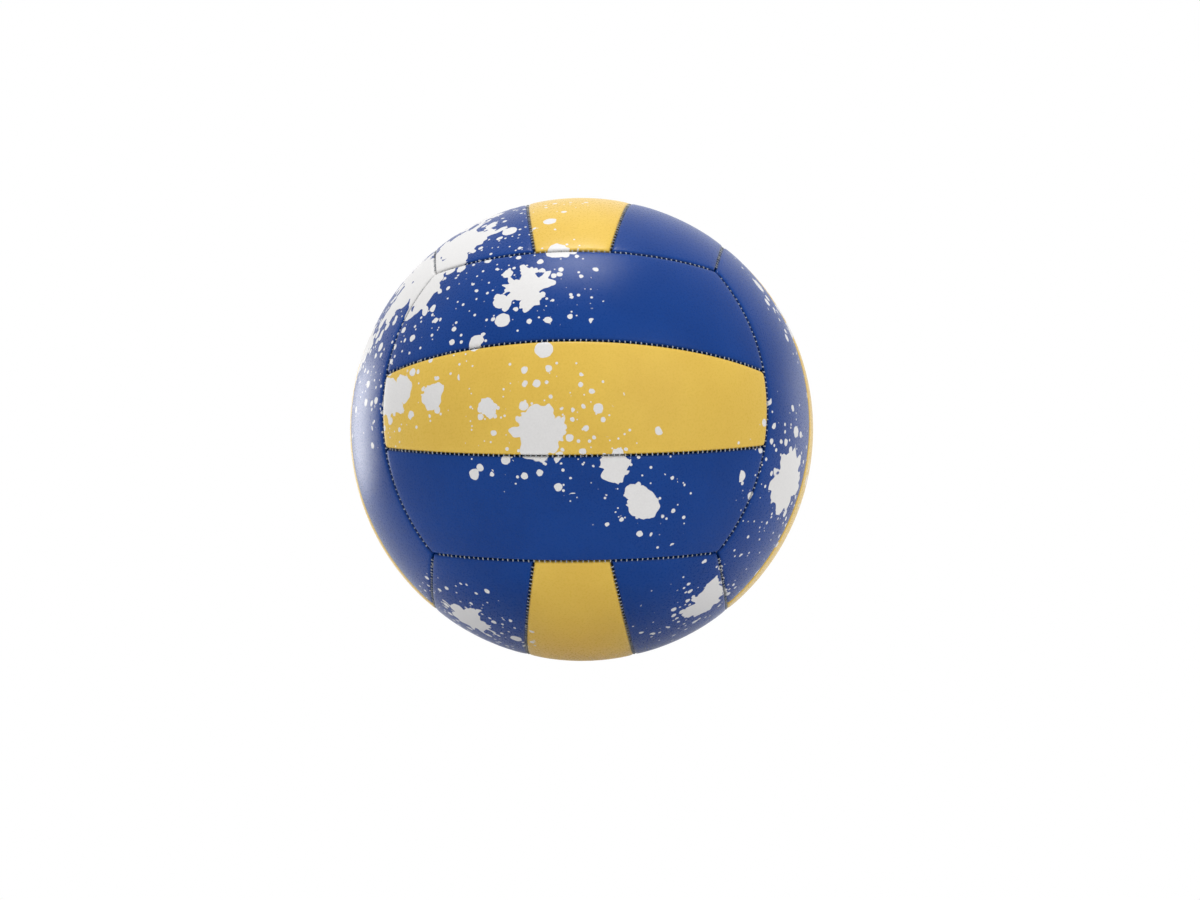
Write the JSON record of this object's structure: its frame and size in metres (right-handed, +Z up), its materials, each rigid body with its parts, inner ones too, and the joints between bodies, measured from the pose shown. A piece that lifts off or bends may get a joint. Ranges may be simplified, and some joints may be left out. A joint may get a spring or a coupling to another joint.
{
  "type": "volleyball",
  "caption": "Inflatable stitched volleyball with bowed strip panels laid out on a cube, padded synthetic leather skin, cloth backing, air bladder and a needle valve.",
  "frame": {"origin": "centre of the ball", "axes": "+Z up, -Y out of the face whose strips run level, +Y out of the needle valve's mouth"},
  "size_m": [0.21, 0.2099, 0.21],
  "materials": {
    "blue_cover": "satin synthetic leather with a fine grain and a white splashed print",
    "yellow_cover": "satin synthetic leather with a fine grain and a white splashed print",
    "panel_foam": "matte foam",
    "backing_cloth": "plain weave",
    "seam_thread": "twisted thread",
    "bladder_rubber": "matte butyl",
    "valve_rubber": "moulded",
    "valve_core_rubber": "moulded"
  },
  "bodies": {
    "root": {"front_upper_cover": "blue_cover", "front_upper_foam": "panel_foam", "front_upper_backing": "backing_cloth", "front_middle_cover": "yellow_cover", "front_middle_foam": "panel_foam", "front_middle_backing": "backing_cloth", "front_lower_cover": "blue_cover", "front_lower_foam": "panel_foam", "front_lower_backing": "backing_cloth", "back_upper_cover": "blue_cover", "back_upper_foam": "panel_foam", "back_upper_backing": "backing_cloth", "back_middle_cover": "yellow_cover", "back_middle_foam": "panel_foam", "back_middle_backing": "backing_cloth", "back_lower_cover": "blue_cover", "back_lower_foam": "panel_foam", "back_lower_backing": "backing_cloth", "right_front_cover": "blue_cover", "right_front_foam": "panel_foam", "right_front_backing": "backing_cloth", "right_middle_cover": "yellow_cover", "right_middle_foam": "panel_foam", "right_middle_backing": "backing_cloth", "right_back_cover": "blue_cover", "right_back_foam": "panel_foam", "right_back_backing": "backing_cloth", "left_front_cover": "blue_cover", "left_front_foam": "panel_foam", "left_front_backing": "backing_cloth", "left_middle_cover": "yellow_cover", "left_middle_foam": "panel_foam", "left_middle_backing": "backing_cloth", "left_back_cover": "blue_cover", "left_back_foam": "panel_foam", "left_back_backing": "backing_cloth", "top_left_cover": "blue_cover", "top_left_foam": "panel_foam", "top_left_backing": "backing_cloth", "top_middle_cover": "yellow_cover", "top_middle_foam": "panel_foam", "top_middle_backing": "backing_cloth", "top_right_cover": "blue_cover", "top_right_foam": "panel_foam", "top_right_backing": "backing_cloth", "bottom_left_cover": "blue_cover", "bottom_left_foam": "panel_foam", "bottom_left_backing": "backing_cloth", "bottom_middle_cover": "yellow_cover", "bottom_middle_foam": "panel_foam", "bottom_middle_backing": "backing_cloth", "bottom_right_cover": "blue_cover", "bottom_right_foam": "panel_foam", "bottom_right_backing": "backing_cloth", "end_seam_thread": "seam_thread", "strip_seam_thread": "seam_thread", "bladder": "bladder_rubber", "valve_housing": "valve_rubber", "valve_core": "valve_core_rubber"}
  },
  "joints": []
}
